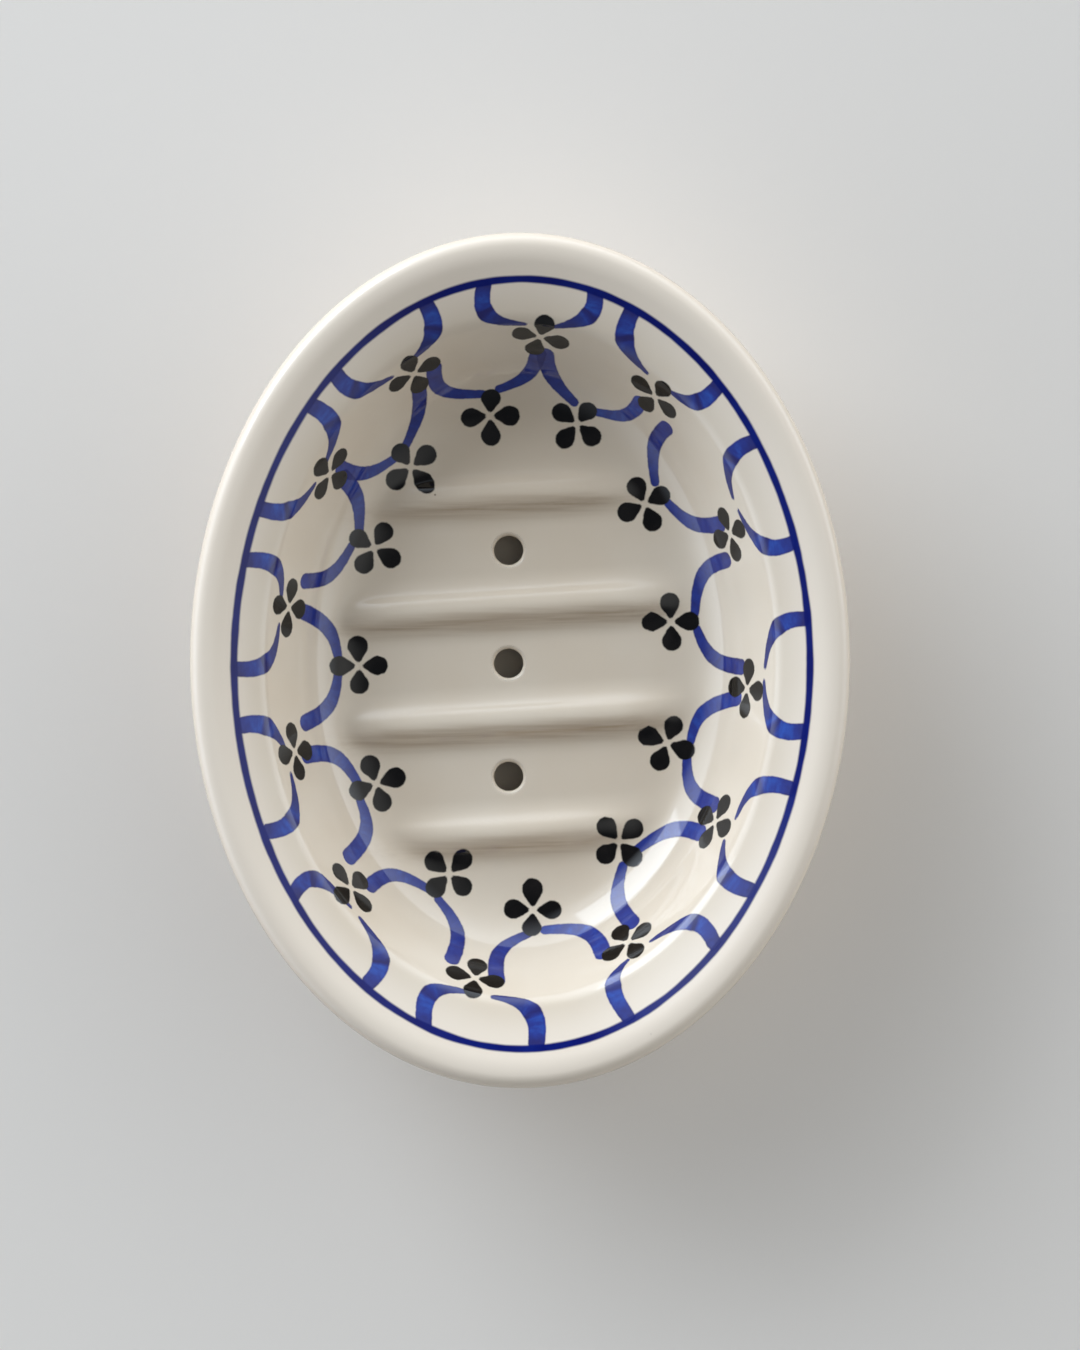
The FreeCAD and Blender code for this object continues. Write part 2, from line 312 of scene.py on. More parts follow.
def field_grid(border, hole):
    """One field of the floor: rows from the border in along the underside, up through the hole and out.

    Each column leaves the middle of the hole towards one point of the border. A point is the hole's middle
    plus that direction times a radius, and quarter circles round the hole's two edges.
    """
    away = border - hole
    far = np.linalg.norm(away, axis=1)
    away = away / far[:, None]
    edge = HOLE_RADIUS + HOLE_EDGE
    round_off = np.linspace(0, math.pi / 2, EDGE_ROWS + 1)
    out = np.linspace(0, 1, FIELD_ROWS + 1)[:, None] ** 1.2
    radius = np.concatenate([
        edge + (far - edge) * np.linspace(1, 0, UNDER_ROWS + 1)[:, None],
        np.repeat((edge - HOLE_EDGE * np.sin(round_off[1:]))[:, None], len(far), 1),
        np.full((HOLE_ROWS, len(far)), HOLE_RADIUS),
        np.repeat((edge - HOLE_EDGE * np.cos(round_off))[:, None], len(far), 1),
        edge + (far - edge) * out[1:],
    ])
    x = hole[0] + radius * away[:, 0]
    y = hole[1] + radius * away[:, 1]
    x[0], y[0] = x[-1], y[-1] = border.T
    top = inside_height(x, y, inset_at(x, y), np.full(x.shape, bowl_z))
    wall = np.linspace(underside_z + HOLE_EDGE, floor_z - HOLE_EDGE, HOLE_ROWS + 2)[1:-1, None]
    z = np.concatenate([
        np.full((UNDER_ROWS + 1, len(far)), underside_z),
        np.repeat((underside_z + HOLE_EDGE * (1 - np.cos(round_off[1:])))[:, None], len(far), 1),
        np.repeat(wall, len(far), 1),
        top[-FIELD_ROWS - 1] - HOLE_EDGE * (1 - np.sin(round_off))[:, None],
        top[-FIELD_ROWS:],
    ])
    painted = np.zeros(x.shape, bool)
    painted[-FIELD_ROWS - 1:] = True
    return np.stack([x, y, z], axis=-1), np.full(x.shape, bend_centre[0]), painted


def ring_faces(rows, columns, start):
    """Quads between the points of a grid whose columns close to a ring, wound to face out of the clay."""
    row, column = np.meshgrid(np.arange(rows - 1), np.arange(columns), indexing="ij")
    after = (column + 1) % columns
    corners = [row * columns + column, (row + 1) * columns + column,
               (row + 1) * columns + after, row * columns + after]
    return start + np.stack(corners, axis=-1).reshape(-1, 4)


def welded(grids):
    """All grids as one mesh: equal points become one, and each keeps its inset and its painted flag."""
    starts = np.cumsum([0] + [grid.shape[0] * grid.shape[1] for grid, _, _ in grids])
    faces = [ring_faces(*grid.shape[:2], start) for (grid, _, _), start in zip(grids, starts)]
    points, insets, painted = [
        np.concatenate([np.asarray(part).reshape(-1, *np.shape(part)[2:]) for part in parts])
        for parts in zip(*grids)
    ]
    _, first, place = np.unique(points.round(8), axis=0, return_index=True, return_inverse=True)
    return points[first], place.reshape(-1)[np.concatenate(faces)], insets[first], painted[first]


dish_points, dish_faces, dish_insets, dish_painted = welded(
    [wall_grid()] + [field_grid(border, hole) for border, hole in zip(field_borders, hole_centres)])
print("dish", len(dish_points), "points", 2 * len(dish_faces), "triangles")

# %% [markdown]
# The camera looks straight down, as in the photograph. It comes before the paint, because the places of
# the brush strokes are read from the photograph as pixels, and a pixel becomes a place on the bowl by
# following its line of sight down to the surface.

# %% Camera
PICTURE = np.array([1080, 1350])
FOCAL_PIXELS = 3973
CAMERA_HEIGHT = 0.650
CAMERA_X = 0.00327
CAMERA_Y = -0.00239
SENSOR_HEIGHT = 24.0

camera_z = roll_centre[1] + CAMERA_HEIGHT
camera = bpy.data.objects.new("camera", bpy.data.cameras.new("camera"))
camera.data.sensor_fit = "VERTICAL"
camera.data.sensor_height = SENSOR_HEIGHT
camera.data.lens = FOCAL_PIXELS / PICTURE[1] * SENSOR_HEIGHT
camera.location = (CAMERA_X, CAMERA_Y, camera_z)
bpy.context.scene.collection.objects.link(camera)
bpy.context.scene.camera = camera


def bowl_height(inset):
    """Height of the painted inside at an inset, without the ridges, read off the profile."""
    return np.maximum(np.interp(inset, inside_profile[::-1, 0], inside_profile[::-1, 1]), floor_z)


def on_bowl(pixels):
    """Places on the bowl that pixels show: the line of sight is followed to the height found last, and the
    height there is looked up again, until both agree."""
    away = (np.asarray(pixels, float) - PICTURE / 2) * (1, -1)
    z = np.full(away.shape[:-1], wall_end_z)
    for _ in range(12):
        scale = (camera_z - z) / FOCAL_PIXELS
        x = CAMERA_X + away[..., 0] * scale
        y = CAMERA_Y + away[..., 1] * scale
        z = bowl_height(inset_at(x, y))
    return np.stack([x, y, z], axis=-1)


print("lens", round(camera.data.lens, 2), "mm, camera at", round(camera_z, 4), "m")

# %% [markdown]
# The ornament is a common one on folk stoneware: a blue line round the rim, brushed legs that hang from it
# and curl towards florets, swags that lead on to a second row of florets, and four black petals in each
# floret. It was stamped and brushed by hand, so each stroke has its own three places: where the brush was
# set down, where it turned and where it was lifted.

# %% Places of the ornament, as pixels of the photograph
RIM_LINE_CENTRE = (522, 664)
RIM_LINE_HALF_SIZES = (288, 385)

OUTER_FLORETS = [
    (747, 689), (730, 534), (655, 397), (540, 337), (414, 374), (330, 474),
    (289, 607), (295, 752), (351, 888), (475, 978), (628, 942), (715, 822),
]
OUTER_TURNS = [3, -2, 2, 11, 5, 2, 2, 0, -1, -3, -4, 5]
INNER_FLORETS = [
    (671, 622), (645, 504), (577, 424), (490, 416), (411, 467), (374, 548),
    (359, 666), (376, 784), (449, 874), (533, 910), (619, 841), (667, 743),
]
INNER_TURNS = [5, 8, 14, 12, 9, 9, 0, 4, 10, 6, 5, 4]

LEGS = [
    [(808, 619), (777, 628), (765, 668)], [(805, 731), (773, 724), (764, 681)],
    [(757, 440), (730, 460), (733, 498)], [(794, 542), (763, 545), (738, 510)],
    [(634, 308), (625, 341), (647, 373)], [(719, 385), (696, 402), (668, 390)],
    [(595, 291), (588, 316), (554, 327)], [(485, 281), (487, 314), (525, 324)],
    [(424, 301), (433, 331), (412, 360)], [(335, 373), (357, 390), (392, 377)],
    [(310, 405), (333, 426), (326, 462)], [(259, 508), (290, 510), (315, 484)],
    [(245, 560), (276, 567), (281, 601)], [(235, 669), (267, 662), (279, 625)],
    [(238, 726), (268, 727), (287, 753)], [(264, 832), (293, 818), (291, 774)],
    [(293, 896), (315, 879), (351, 907)], [(365, 986), (381, 958), (360, 918)],
    [(424, 1025), (431, 993), (467, 992)], [(536, 1047), (531, 1011), (493, 997)],
    [(628, 1017), (613, 985), (628, 960)], [(714, 943), (692, 922), (651, 941)],
    [(750, 890), (725, 875), (724, 841)], [(792, 789), (757, 787), (736, 818)],
]
SWAGS = [
    [(741, 667), (713, 657), (697, 629)], [(737, 698), (704, 712), (691, 741)],
    [(720, 524), (693, 523), (668, 503)], [(726, 560), (703, 575), (695, 613)],
    [(640, 402), (625, 415), (597, 412)], [(666, 428), (654, 447), (655, 482)],
    [(545, 354), (553, 378), (574, 402)], [(538, 353), (527, 375), (499, 389)],
    [(434, 368), (443, 390), (483, 394)], [(419, 388), (418, 414), (406, 445)],
    [(341, 468), (366, 473), (395, 458)], [(343, 478), (357, 499), (359, 531)],
    [(305, 581), (331, 574), (352, 545)], [(304, 612), (328, 629), (338, 658)],
    [(305, 723), (329, 705), (338, 674)], [(306, 755), (336, 757), (358, 784)],
    [(349, 857), (366, 831), (360, 800)], [(370, 886), (394, 875), (428, 889)],
    [(452, 959), (457, 930), (438, 899)], [(497, 980), (500, 952), (528, 934)],
    [(603, 953), (586, 932), (545, 930)], [(632, 923), (618, 899), (623, 866)],
    [(700, 833), (672, 830), (637, 850)], [(714, 805), (692, 789), (687, 758)],
]
print(len(LEGS), "legs", len(SWAGS), "swags", len(OUTER_FLORETS) + len(INNER_FLORETS), "florets")

# %% [markdown]
# A picture of the ornament could be wrapped round the bowl, but here it stays a formula: each point of the
# mesh keeps how far it lies inside the edge of the nearest stroke or petal, in millimetres, and where on
# the stroke it lies. The finish cuts these distances at zero, so the edges come out far finer than the mesh.

# %% Strokes and petals as distances
MILLIMETRES = 1000.0
FAR_OUTSIDE = -9.0
STROKE_STEPS = 90
TURN_PULL = 1.5
NEAR_STROKE = 0.004
NEAR_FLORET = 0.008

HAND_SEED = 11
hand = np.random.default_rng(HAND_SEED)


def brush_line(places):
    """The line of a stroke through three places: a conic, whose middle weight pulls it into the turn.

    The weighted middle point lies beyond the turn by the turn's offset from the chord over the weight.
    """
    start, turn, end = np.asarray(places, float)
    share = np.linspace(0, 1, STROKE_STEPS)[:, None]
    pulled = turn + (turn - (start + end) / 2) / TURN_PULL
    weights = [(1 - share) ** 2, 2 * TURN_PULL * share * (1 - share), share**2]
    line = (weights[0] * start + weights[1] * pulled + weights[2] * end) / sum(weights)
    return on_bowl(line)


def stroke_field(points, line, half_width):
    """Where points lie on a stroke: side to side from -1 to 1, the share along, and how far inside.

    The nearest point of the line gives the share along it and the width there.
    """
    offset = points[:, None] - line
    distance = np.linalg.norm(offset, axis=2)
    nearest = distance.argmin(axis=1)
    offset = offset[np.arange(len(points)), nearest]
    distance = distance.min(axis=1)
    heading = np.gradient(line, axis=0)[nearest]
    side = np.sign(heading[:, 0] * offset[:, 1] - heading[:, 1] * offset[:, 0])
    width = half_width[nearest]
    return side * distance / width, nearest / (len(line) - 1), width - distance


def stroke_layer(strokes, half_widths):
    """One layer of strokes on the dish: side, share along, distance inside and a tone for each stroke.

    The half widths are those where the brush was set down, where it turned and where it was lifted.
    """
    layer = np.tile([0, 0, FAR_OUTSIDE, 0], (len(dish_points), 1)).astype(float)
    for places in strokes:
        line = brush_line(places)
        share = np.linspace(0, 1, STROKE_STEPS)
        half_width = np.interp(share, (0, 0.5, 1), half_widths) * hand.uniform(0.93, 1.07)
        tone = hand.uniform()
        low, high = line.min(axis=0) - NEAR_STROKE, line.max(axis=0) + NEAR_STROKE
        close = np.flatnonzero(dish_painted & ((dish_points > low) & (dish_points < high)).all(axis=1))
        side, along, inside = stroke_field(dish_points[close], line, half_width)
        inside = inside * MILLIMETRES
        nearer = inside > layer[close, 2]
        field = np.column_stack([side, along, inside, np.full(len(close), tone)])
        layer[close[nearer]] = field[nearer]
    return layer


def petal_distance(along, across, start, end, tip, head):
    """How far a point lies inside a petal: a small circle at its tip and a large one at its head, with
    their two outer tangents."""
    across = np.abs(across)
    along = along - start - tip
    length = end - head - start - tip
    lean = (tip - head) / length
    rise = math.sqrt(1 - lean * lean)
    beside = -lean * across + rise * along
    at_tip = np.hypot(along, across) - tip
    at_head = np.hypot(along - length, across) - head
    at_side = rise * across + lean * along - tip
    return -np.where(beside < 0, at_tip, np.where(beside > rise * length, at_head, at_side))


PETAL_START = 0.0006
PETAL_END = 0.0049
PETAL_TIP = 0.0005
PETAL_HEAD = 0.00168
PETALS = 4


def floret_layer(pixels, turns):
    """All florets: for each of the four petals, how far a point lies inside the nearest one of its number.

    A floret lies in the plane that touches the bowl in its middle, with one axis along the oval and the
    other up the wall.
    """
    layer = np.full((len(dish_points), PETALS), FAR_OUTSIDE)
    for middle, turn in zip(on_bowl(pixels), np.radians(turns)):
        inset = inset_at(middle[0], middle[1])
        half_width, half_length = half_sizes(inset, BOWL_SPREAD)
        angle = math.atan2(middle[1] / half_length, middle[0] / half_width)
        along_oval = np.array([-half_width * math.sin(angle), half_length * math.cos(angle), 0])
        along_oval /= np.linalg.norm(along_oval)
        outward = np.array([along_oval[1], -along_oval[0], 0])
        nudge = HOLE_EDGE
        rise = (bowl_height(inset - nudge) - bowl_height(inset + nudge)) / (2 * nudge)
        up_wall = outward + np.array([0, 0, rise * np.dot(outward[:2], middle[:2])
                                      / math.hypot(*middle[:2])])
        up_wall /= np.linalg.norm(up_wall)
        close = np.flatnonzero(dish_painted & (np.abs(dish_points - middle) < NEAR_FLORET).all(axis=1))
        offset = dish_points[close] - middle
        u, v = offset @ along_oval, offset @ up_wall
        for petal in range(PETALS):
            heading = turn + petal * math.pi / 2 + hand.normal(0, 0.03)
            size = hand.uniform(0.96, 1.05)
            along = u * math.cos(heading) + v * math.sin(heading)
            across = v * math.cos(heading) - u * math.sin(heading)
            inside = petal_distance(
                along, across, PETAL_START, PETAL_END * size, PETAL_TIP, PETAL_HEAD * size)
            layer[close, petal] = np.maximum(layer[close, petal], inside * MILLIMETRES)
    return layer


LEG_HALF_WIDTHS = (0.0013, 0.00155, 0.00042)
SWAG_HALF_WIDTHS = (0.00145, 0.0013, 0.0008)
RIM_LINE_STEPS = 120

legs = stroke_layer(LEGS, LEG_HALF_WIDTHS)
first_swags = stroke_layer(SWAGS[0::2], SWAG_HALF_WIDTHS)
second_swags = stroke_layer(SWAGS[1::2], SWAG_HALF_WIDTHS)
petals = floret_layer(OUTER_FLORETS + INNER_FLORETS, OUTER_TURNS + INNER_TURNS)

round_turn = np.linspace(0, 2 * math.pi, RIM_LINE_STEPS, endpoint=False)
line_places = on_bowl(np.array(RIM_LINE_CENTRE) + np.array(RIM_LINE_HALF_SIZES)
                      * np.column_stack([np.cos(round_turn), -np.sin(round_turn)]))
line_insets = inset_at(line_places[:, 0], line_places[:, 1])
line_widths, line_lengths = half_sizes(line_insets, BOWL_SPREAD)
line_angles = np.arctan2(line_places[:, 1] / line_lengths, line_places[:, 0] / line_widths)
point_widths, point_lengths = half_sizes(dish_insets, BOWL_SPREAD)
point_angles = np.arctan2(dish_points[:, 1] / point_lengths, dish_points[:, 0] / point_widths)
below_line = dish_insets - np.interp(point_angles, line_angles, line_insets, period=2 * math.pi)
cosine, sine = np.cos(point_angles), np.sin(point_angles)
square_to_line = ((point_lengths * cosine**2 + BOWL_SPREAD[1] * point_widths * sine**2)
                  / np.hypot(point_lengths * cosine, point_widths * sine))
below_line = below_line * square_to_line * MILLIMETRES
below_line[~dish_painted] = FAR_OUTSIDE
legs[:, 2] = np.minimum(legs[:, 2], below_line)
print("rim line at insets", line_insets.min().round(4), "to", line_insets.max().round(4))

# %% [markdown]
# Finishes are node trees. Written out link by link they are hard to read, so one small class wraps a
# socket: sums and products of wrapped sockets add Math nodes, and one method makes any other node.

# %% Wires of a finish
class Wire:
    """A socket of a material's node tree, on which arithmetic adds Math nodes."""

    def __init__(self, tree, socket):
        self.tree = tree
        self.socket = socket

    def node(self, kind, settings, inputs, output=0):
        """Adds a node, with its settings first and then the values or links of its sockets."""
        made = self.tree.nodes.new(kind)
        for name, value in settings.items():
            setattr(made, name, value)
        for name, value in inputs.items():
            if isinstance(value, Wire):
                self.tree.links.new(value.socket, made.inputs[name])
            else:
                made.inputs[name].default_value = value
        return Wire(self.tree, made.outputs[output])

    def maths(self, operation, first, second):
        return self.node("ShaderNodeMath", {"operation": operation}, {0: first, 1: second})

    def __add__(self, other):
        return self.maths("ADD", self, other)

    def __sub__(self, other):
        return self.maths("SUBTRACT", self, other)

    def __rsub__(self, other):
        return self.maths("SUBTRACT", other, self)

    def __mul__(self, other):
        return self.maths("MULTIPLY", self, other)

    def __truediv__(self, other):
        return self.maths("DIVIDE", self, other)

    def __abs__(self):
        return self.maths("ABSOLUTE", self, 0)

    __radd__ = __add__
    __rmul__ = __mul__

    def most(self, other):
        return self.maths("MAXIMUM", self, other)

    def ramp(self, low, high):
        """0 at low, 1 at high and smooth between them."""
        settings = {"interpolation_type": "SMOOTHSTEP"}
        return self.node("ShaderNodeMapRange", settings, {"Value": self, "From Min": low, "From Max": high})

    def blend(self, below, above):
        """A colour: below where this is 0, above where it is 1."""
        return self.node("ShaderNodeMix", {"data_type": "RGBA"}, {0: self, 6: below, 7: above}, 2)

    def noise(self, scale, detail=2.0):
        return self.node("ShaderNodeTexNoise", {}, {"Vector": self, "Scale": scale, "Detail": detail})

    def stretched(self, x, y, z):
        return self.node("ShaderNodeVectorMath", {"operation": "MULTIPLY"}, {0: self, 1: (x, y, z)})

    def height(self):
        """The third number of a place."""
        return self.node("ShaderNodeSeparateXYZ", {}, {0: self}, 2)

    def stored(self, name):
        """The number that the points of the mesh keep under a name."""
        return self.node("ShaderNodeAttribute", {"attribute_name": name}, {}, "Fac")


def colour(red, green, blue):
    """A colour as seen on a screen, from 0 to 255, as the linear values that a finish takes."""
    share = np.array([red, green, blue]) / 255
    linear = np.where(share <= 0.04045, share / 12.92, ((share + 0.055) / 1.055) ** 2.4)
    return (*linear, 1.0)


def new_finish(name):
    """A new material: its shader, and a wire with the place on the piece in metres."""
    material = bpy.data.materials.new(name)
    material.use_nodes = True
    tree = material.node_tree
    start = tree.nodes.new("ShaderNodeTexCoord")
    return material, tree.nodes["Principled BSDF"], Wire(tree, start.outputs["Object"])


print("mid grey as linear values", np.round(colour(128, 128, 128), 3))

# %% [markdown]
# The glaze is a clear cream gloss over pale clay. Its tone drifts a little, it has a few specks of iron,
# and it dried in soft ripples that bend the reflections. Dish and base share it, so it is one function
# for the colour and one for the gloss. A scanned picture would show its repeats on so plain a surface.

# %% Cream glaze
CREAM = colour(226, 212, 193)
CREAM_DEEP = colour(221, 205, 184)
# Painted light for the shaded drip chamber: a paler cream, and how much of it is used.
CHAMBER_PAINTED_LIGHT_CREAM = colour(240, 229, 212)
CHAMBER_PAINTED_LIGHT_SHARE = 0.85
SPECK = colour(120, 98, 74)
SPECK_SPACING = 140.0
SPECK_RADIUS = 0.035
SPECK_SHARE = 0.93


def cream_glaze(place):
    """The colour of the bare glaze: two creams mixed by slow noise, with a dark speck in a few cells."""
    drift = place.noise(38.0, 3.0).ramp(0.3, 0.7)
    cream = drift.blend(CREAM, CREAM_DEEP)
    cells = {"Vector": place, "Scale": SPECK_SPACING}
    near = place.node("ShaderNodeTexVoronoi", {}, cells, "Distance")
    pick = place.node("ShaderNodeTexVoronoi", {}, cells, "Color")
    chosen = place.node("ShaderNodeSeparateColor", {}, {0: pick}).ramp(SPECK_SHARE, SPECK_SHARE + 0.02)
    speck = (1 - near.ramp(SPECK_RADIUS * 0.4, SPECK_RADIUS)) * chosen * 0.7
    return speck.blend(cream, SPECK)


RIPPLE_SCALE = 70.0
RIPPLE_DEPTH = 0.2
BUMP_STRENGTH = 0.25
BUMP_DISTANCE = 0.0003
GLAZE_IOR = 1.52


def gloss(material, shader, place, roughness, height):
    """The glaze's gloss: its roughness, and soft ripples with the height of the paint or clay added."""
    ripples = place.noise(RIPPLE_SCALE, 1.0) * RIPPLE_DEPTH + height
    bump = place.node("ShaderNodeBump", {}, {
        "Height": ripples, "Strength": BUMP_STRENGTH, "Distance": BUMP_DISTANCE})
    material.node_tree.links.new(roughness.socket, shader.inputs["Roughness"])
    material.node_tree.links.new(bump.socket, shader.inputs["Normal"])
    shader.inputs["IOR"].default_value = GLAZE_IOR


print("cream as linear values", np.round(CREAM, 3))

# %% [markdown]
# Under the paint the dish's glaze isn't the same everywhere. Its rim is paler, which is painted light on the
# top of the dish, and the underside and the hole walls are paler, which is painted light in the shaded drip
# chamber below the holes. The outer roll of the rim is darker and warmer: partly clay that shows through
# glaze run thin off the edge, partly painted shade. Down the near, shaded side of each ridge runs a darker
# warm band in fine streaks, which is painted shade. These places could be painted by hand, but the ridges'
# places are known, so each point of the mesh works out its own share.

# %% Bare glaze of the dish
# Painted light on the rim: a paler cream that comes in with height.
RIM_PAINTED_LIGHT_CREAM = colour(236, 222, 205)
RIM_PAINTED_LIGHT_HEIGHTS = (0.0310, 0.0335)
RIM_PAINTED_LIGHT_SHARE = 0.8
# Painted light under the floor: the underside and the hole walls, in the shaded drip chamber, are made
# paler.
UNDERSIDE_PAINTED_LIGHT_HEIGHTS = (floor_z - 0.0016, floor_z - 0.0008)
# Painted shade: a darker warm colour down the ridges' shaded sides; it also darkens the outer roll.
THIN_GLAZE_AND_SHADE = colour(176, 152, 124)
RIDGE_SHADE_PLACE = 0.0023
RIDGE_SHADE_HALF_WIDTH = 0.0026
# The outer roll of the rim is darker: partly glaze run thin off the edge, partly painted shade.
OUTER_ROLL_THIN_AND_SHADE = 0.42


def painted_ridge_shade(x, y):
    """Share of painted shade: 1 in a band down the near, shaded side of each ridge, fading with the ridge.
    """
    row = y * math.cos(RIDGE_TURN) - x * math.sin(RIDGE_TURN)
    below_crest = ridge_places - row[..., None]
    band = 1 - np.abs(below_crest - RIDGE_SHADE_PLACE) / RIDGE_SHADE_HALF_WIDTH
    return np.clip(band.max(axis=-1), 0, 1) * ridge_fade(x, inset_at(x, y))


def bare_glaze(place):
    """Bare glaze: cream, painted light on rim and underside, painted shade on ridges, a darker outer roll.
    """
    height = place.height()
    # Painted light: the rim is made paler by height.
    base = (height.ramp(*RIM_PAINTED_LIGHT_HEIGHTS) * RIM_PAINTED_LIGHT_SHARE).blend(cream_glaze(place), RIM_PAINTED_LIGHT_CREAM)
    # Painted light: under the floor, in the shaded chamber, the cream is made paler.
    base = ((1 - height.ramp(*UNDERSIDE_PAINTED_LIGHT_HEIGHTS)) * CHAMBER_PAINTED_LIGHT_SHARE).blend(base, CHAMBER_PAINTED_LIGHT_CREAM)
    streaks = place.stretched(0.04, 1.0, 1.0).noise(1400.0, 3.0).ramp(0.3, 0.75)
    # Painted shade: a darker warm band in fine streaks down each ridge's shaded side.
    base = (place.stored("painted_ridge_shade") * (0.25 + streaks * 0.55)).blend(base, THIN_GLAZE_AND_SHADE)
    # Darker outer roll: partly thin glaze, partly painted shade.
    return (place.stored("outer_roll") * OUTER_ROLL_THIN_AND_SHADE).blend(base, THIN_GLAZE_AND_SHADE)


dish_x, dish_y, dish_z = dish_points.T
# thin is the share of painted shade on the ridges' shaded sides.
thin = painted_ridge_shade(dish_x, dish_y) * dish_painted
# The darker outer roll of the rim, partly thin glaze and partly painted shade.
outer_roll = (dish_z > seat_z) * smooth_step(0, ROLL_RADIUS, crest_z - dish_z) * ~dish_painted
print("thin glaze on", (thin > 0).sum(), "points of ridges and", (outer_roll > 0).sum(), "of the rim")

# %% [markdown]
# The paint is cobalt under the glaze. A loaded brush leaves a thin wash where it lands, a dark band where
# it turns and a darker tail. The wash shows streaks across the stroke, the edges are darker where the
# colour pooled, and where two strokes cross the blue is deeper.

# %% Painted finish of the dish
COBALT_WASH = colour(24, 76, 172)
COBALT = colour(9, 40, 132)
COBALT_DEEP = colour(3, 11, 94)
COBALT_TAIL = colour(24, 26, 94)
PETAL_BLACK = colour(11, 9, 9)
PETAL_WORN = colour(28, 24, 23)
SOFT_EDGE = 0.15
EDGE_WOBBLE = 0.22
RIM_LINE_HALF_WIDTH = 0.58


def painted_layer(place, name):
    """The four numbers of a painted layer as wires."""
    stored = {"attribute_name": name}
    values = place.node("ShaderNodeAttribute", stored, {}, "Color")
    last = place.node("ShaderNodeAttribute", stored, {}, "Alpha")
    return [place.node("ShaderNodeSeparateColor", {}, {0: values}, part) for part in range(3)] + [last]


def cobalt(load):
    """Cobalt from a thin wash at load 0 to a deep blue at load 1."""
    thin = load.ramp(0.0, 0.5).blend(COBALT_WASH, COBALT)
    return load.ramp(0.4, 1.0).blend(thin, COBALT_DEEP)


def stroke(place, name, base, foot, wash, turn, tail):
    """A layer of strokes over the base colour, and where the layer covers it.

    The load starts at the foot's value, falls to the wash, and has a band where the brush turned. After
    the turn the tail's colour comes in. Streaks cross the stroke and its edges are darker.
    """
    side, along, inside, tone = painted_layer(place, name)
    wobble = (place.noise(900.0) - 0.5) * EDGE_WOBBLE
    cover = (inside + wobble).ramp(-SOFT_EDGE, SOFT_EDGE)
    bands = place.node("ShaderNodeCombineXYZ", {}, {0: along * 10.0, 1: side * 0.6, 2: tone * 40.0})
    streaks = bands.noise(1.0, 4.0) - 0.5
    at_turn = along.ramp(0.34, 0.43) * (1 - along.ramp(0.45, 0.6))
    edge = abs(side).ramp(0.6, 1.0)
    load = wash + (1 - along.ramp(0.0, 0.22)) * (foot - wash) + at_turn * turn
    load = load + streaks * 0.9 + edge * 0.18 + (tone - 0.5) * 0.2
    colour_here = (along.ramp(0.45, 0.8) * tail).blend(cobalt(load), COBALT_TAIL)
    return (cover * 0.97).blend(base, colour_here), cover


def painted_glaze():
    """The dish's finish: cream glaze, cobalt strokes, the rim line and the black petals."""
    material, shader, place = new_finish("painted_glaze")
    base = bare_glaze(place)
    base, leg_cover = stroke(place, "legs", base, foot=0.75, wash=0.3, turn=0.6, tail=0.75)
    swag = {"foot": 0.5, "wash": 0.5, "turn": 0.05, "tail": 0.0}
    base, first_cover = stroke(place, "first_swags", base, **swag)
    base, second_cover = stroke(place, "second_swags", base, **swag)
    crossing = (first_cover * second_cover).most(leg_cover * first_cover.most(second_cover))
    base = (crossing * 0.55).blend(base, COBALT_DEEP)
    cover = leg_cover.most(first_cover).most(second_cover)

    uneven = (place.noise(160.0) - 0.5) * 0.3
    line = (RIM_LINE_HALF_WIDTH + uneven - abs(place.stored("below_line"))).ramp(-0.2, 0.2)
    line_load = 0.85 + (place.noise(220.0, 3.0) - 0.5) * 0.5
    base = line.blend(base, cobalt(line_load))

    first, second, third, fourth = painted_layer(place, "petals")
    inside = first.most(second).most(third).most(fourth)
    petal = (inside + (place.noise(1100.0) - 0.5) * 0.25).ramp(-SOFT_EDGE, SOFT_EDGE)
    black = place.noise(260.0, 3.0).ramp(0.35, 0.85).blend(PETAL_BLACK, PETAL_WORN)
    base = petal.blend(base, black)
    material.node_tree.links.new(base.socket, shader.inputs["Base Color"])
    roughness = 0.03 + place.noise(55.0) * 0.04
    gloss(material, shader, place, roughness, cover.most(petal) * 0.1)
    return material


print("rim line", 2 * RIM_LINE_HALF_WIDTH, "mm wide")

# %% [markdown]
# Now the dish itself. Its points keep the layers of the ornament, the share of painted shade on the ridges
# and that of the darker outer roll as attributes, because these follow the surface and need no unwrapping.
# It rides on the body that lifts off the base and takes the place of the plain CAD piece.

# %% Dish
def new_piece(name, points, faces, material):
    """A mesh object of these points and faces, smooth, with one finish."""
    mesh = bpy.data.meshes.new(name)
    mesh.from_pydata(points.tolist(), [], faces)
    mesh.shade_smooth()
    mesh.materials.append(material)
    piece = bpy.data.objects.new(name, mesh)
    bpy.context.scene.collection.objects.link(piece)
    return piece


dish = new_piece("glazed_draining_dish", dish_points, dish_faces.tolist(), painted_glaze())
layers = {"legs": legs, "first_swags": first_swags, "second_swags": second_swags, "petals": petals}
for name, layer in layers.items():
    stored = dish.data.attributes.new(name, "FLOAT_COLOR", "POINT")
    stored.data.foreach_set("color", layer.astype(np.float32).ravel())
shares = {"below_line": below_line, "painted_ridge_shade": thin, "outer_roll": outer_roll}
for name, values in shares.items():
    stored = dish.data.attributes.new(name, "FLOAT", "POINT")
    stored.data.foreach_set("value", values.astype(np.float32))
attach(dish, "dish")
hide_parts("draining_dish")
print(dish.name, len(dish.data.polygons), "faces")

# %% [markdown]
# The drip base is a plain bowl of the same ware. Its profile is carried round the oval once, from the
# middle of its floor over the seat and down the belly to the foot ring and the middle of the underside,
# and the two middles are closed with a fan.

